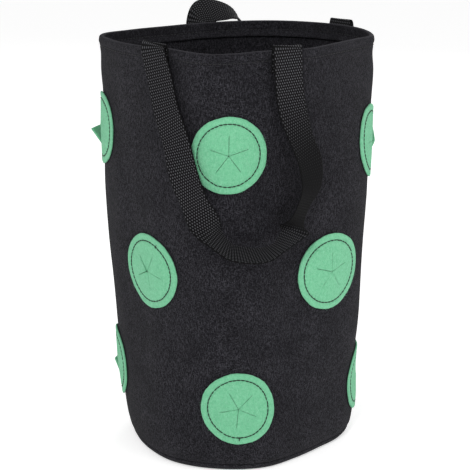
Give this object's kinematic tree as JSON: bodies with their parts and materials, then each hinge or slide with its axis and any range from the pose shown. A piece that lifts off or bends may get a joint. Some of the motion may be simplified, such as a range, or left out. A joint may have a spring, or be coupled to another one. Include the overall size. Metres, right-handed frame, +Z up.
{
  "type": "strawberry grow bag",
  "caption": "Tall round grow bag of black felt with a hemmed open top, round green planting patches cut in a star, and webbing carrying handles.",
  "frame": {"origin": "on the floor under the middle of the base", "axes": "+Z up out of the open top, -Y towards the front handle"},
  "size_m": [0.24, 0.2744, 0.3681],
  "materials": {
    "black_felt": "matt needle-punched felt with paler fibres",
    "green_felt": "matt pressed felt",
    "black_webbing": "coarse woven strap with a slight gloss"
  },
  "bodies": {
    "root": {"bag_wall": "black_felt", "bag_base": "black_felt", "patch_top_front": "green_felt", "patch_top_right": "green_felt", "patch_top_rear": "green_felt", "patch_top_left": "green_felt", "patch_middle_front_right": "green_felt", "patch_middle_rear_right": "green_felt", "patch_middle_rear_left": "green_felt", "patch_middle_front_left": "green_felt", "patch_bottom_front": "green_felt", "patch_bottom_right": "green_felt", "patch_bottom_rear": "green_felt", "patch_bottom_left": "green_felt", "handle_front": "black_webbing", "handle_rear": "black_webbing"}
  },
  "joints": []
}
